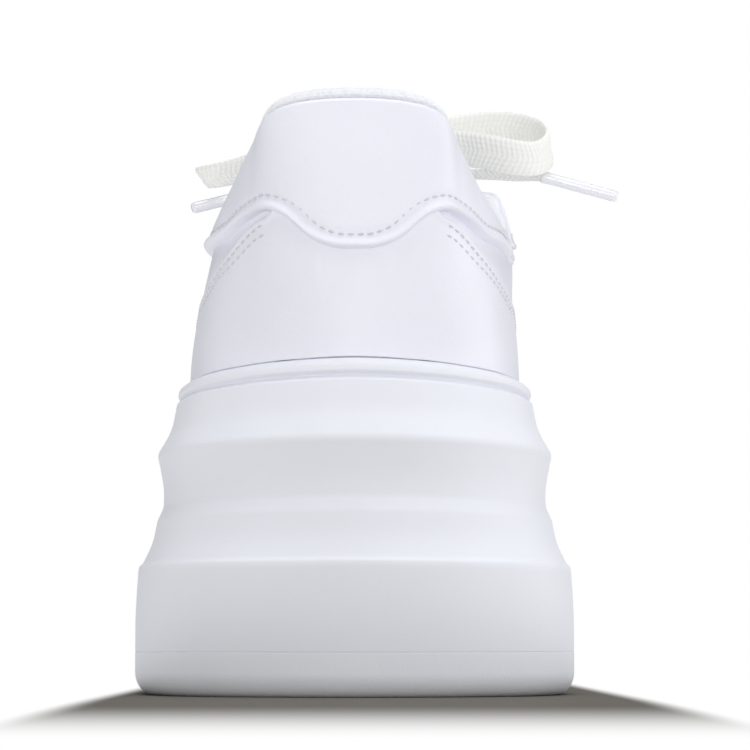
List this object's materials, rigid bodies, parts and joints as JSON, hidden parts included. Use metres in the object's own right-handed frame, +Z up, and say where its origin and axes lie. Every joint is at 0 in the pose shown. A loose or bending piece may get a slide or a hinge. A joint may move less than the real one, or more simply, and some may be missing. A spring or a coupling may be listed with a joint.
{
  "type": "sneaker",
  "caption": "Left-foot platform sneaker on a tall sculpted sole, with a padded collar, wavy heel overlay and flat laces tied in a bow.",
  "frame": {"origin": "on the ground, under the middle of the sole's outline", "axes": "+Y from heel to toe, +X to the inner side of the left foot, +Z up"},
  "size_m": [0.1092, 0.278, 0.1334],
  "materials": {
    "outsole": "matt white rubber",
    "midsole": "matt white moulded foam",
    "insole": "white cloth over foam",
    "upper": "smooth white leather",
    "overlays": "smooth white leather",
    "laces": "flat woven off-white lace",
    "aglets": "clear film over white lace"
  },
  "bodies": {
    "root": {"outsole": "outsole", "midsole": "midsole", "insole": "insole", "upper": "upper", "heel_counter": "overlays", "collar_overlay": "overlays", "toe_guard": "overlays", "eyestay": "overlays", "tongue": "upper", "lace_bars": "laces", "lace_knot": "laces", "lace_loop_inner": "laces", "lace_loop_outer": "laces", "lace_end_inner": "laces", "lace_end_outer": "laces", "aglet_inner": "aglets", "aglet_outer": "aglets"}
  },
  "joints": []
}
